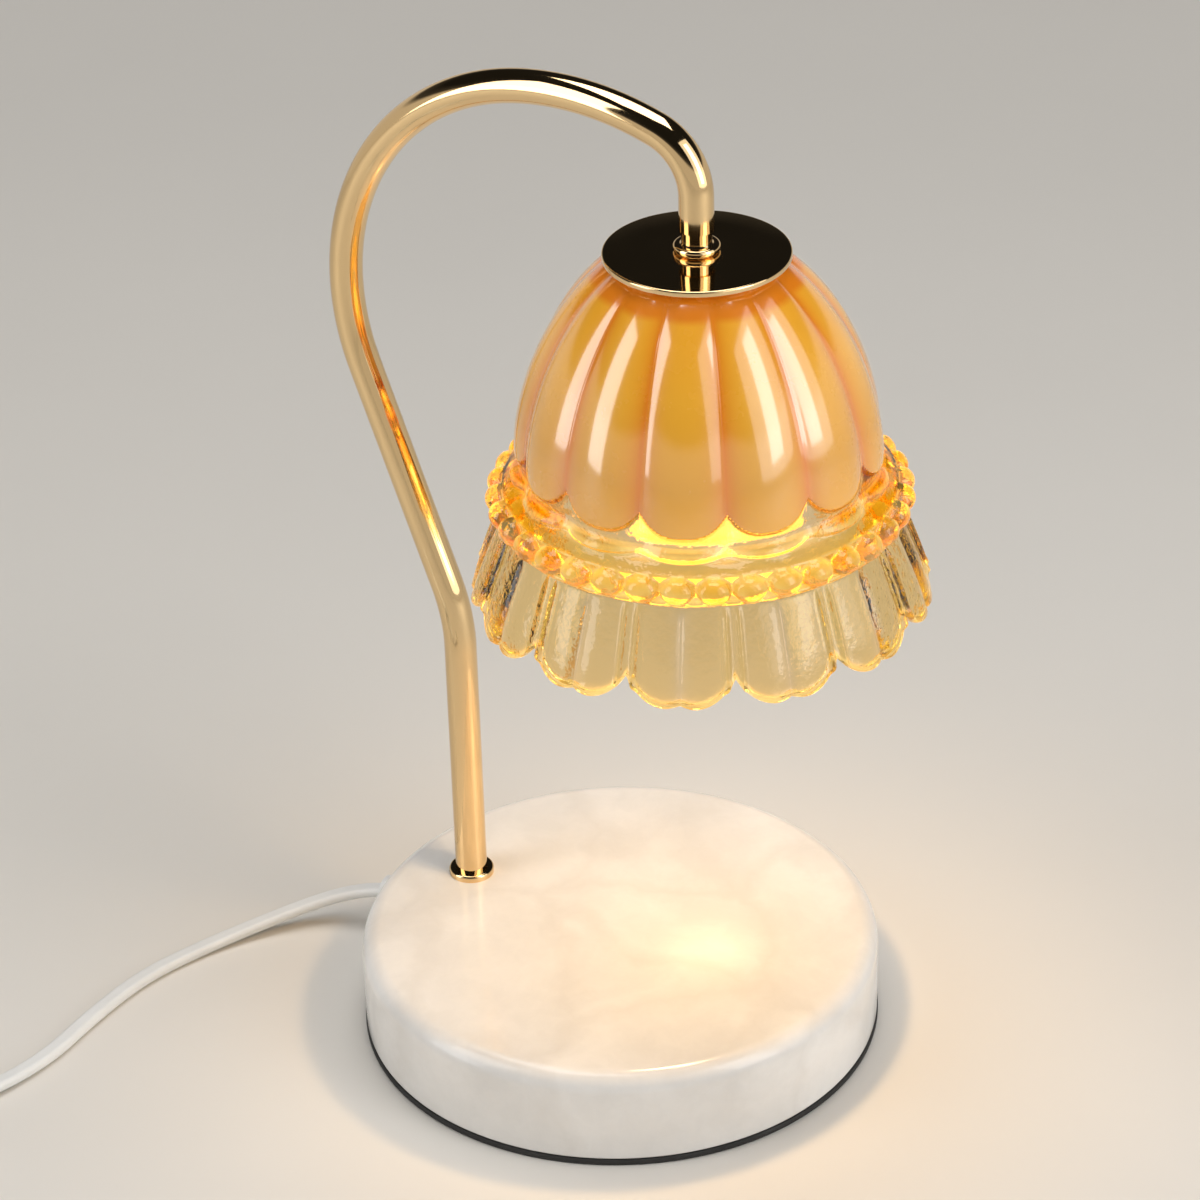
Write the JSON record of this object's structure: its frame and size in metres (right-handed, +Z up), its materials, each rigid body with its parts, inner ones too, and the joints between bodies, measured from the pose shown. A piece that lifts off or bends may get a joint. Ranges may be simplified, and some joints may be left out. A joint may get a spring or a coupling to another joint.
{
  "type": "candle warmer lamp",
  "caption": "Candle warmer lamp: round marble base, bent polished tube and fluted amber glass shade over the candle, with an in-line dimmer on its cord.",
  "frame": {"origin": "centre of the round base at the surface that it stands on", "axes": "+Z up, +X from the arm's foot toward the shade, with the arm in the plane y = 0"},
  "size_m": [0.2862, 0.3797, 0.3146],
  "materials": {
    "gold_metal": "polished",
    "steel": "satin",
    "white_pvc": "satin",
    "marble": "honed",
    "dark_rubber": "matte",
    "clear_rubber": "matte",
    "amber_glass": "clear, with a pearl lustre on the dome",
    "ceramic": "matte",
    "contact_brass": "plain",
    "bulb_glass": "clear",
    "brown_lead": "matte",
    "blue_lead": "matte",
    "dimmer_grey": "matte",
    "board_green": "satin",
    "tie_black": "matte"
  },
  "bodies": {
    "lamp": {"arm_tube": "gold_metal", "base_pad": "dark_rubber", "bracket_nut": "steel", "cap_gasket": "clear_rubber", "coil_tie": "tie_black", "cord_bushing": "white_pvc", "cord_coil": "white_pvc", "dimmer_board": "board_green", "dimmer_case_bottom": "white_pvc", "dimmer_case_top": "white_pvc", "dimmer_potentiometer": "dimmer_grey", "dimmer_screws": "steel", "dimmer_sleeve_in": "white_pvc", "dimmer_sleeve_out": "white_pvc", "dimmer_terminals": "dimmer_grey", "foot_lock_washer": "steel", "foot_nut": "steel", "foot_ring": "gold_metal", "foot_washer": "steel", "glass_shade": "amber_glass", "holder_bracket": "steel", "holder_contacts": "contact_brass", "holder_screws": "steel", "lamp_cord": "white_pvc", "lampholder": "ceramic", "live_lead": "brown_lead", "marble_base": "marble", "neck_fitting": "gold_metal", "neutral_lead": "blue_lead", "plug_blades": "steel", "plug_body": "white_pvc", "plug_cord": "white_pvc", "shade_cap": "gold_metal", "shade_gasket": "clear_rubber", "shade_nut": "steel", "shade_washer": "steel", "supply_cord": "white_pvc"},
    "bulb": {"bulb_reflector": "bulb_glass", "bulb_lens": "bulb_glass", "bulb_base": "ceramic", "bulb_pins": "steel", "bulb_burner": "bulb_glass"},
    "dimmer_knob": {"dimmer_wheel": "dimmer_grey", "dimmer_shaft": "dimmer_grey"}
  },
  "joints": [
    {"name": "bulb_twist", "type": "hinge", "parent": "lamp", "child": "bulb", "pos_m": [0.03161, 0, 0.22904], "axis": [0, 0, -1], "range_deg": [0, 20]},
    {"name": "dimmer_turn", "type": "hinge", "parent": "lamp", "child": "dimmer_knob", "pos_m": [-0.17108, -0.20827, 0.01], "axis": [0, 0, 1], "range_deg": [0, 280]}
  ]
}
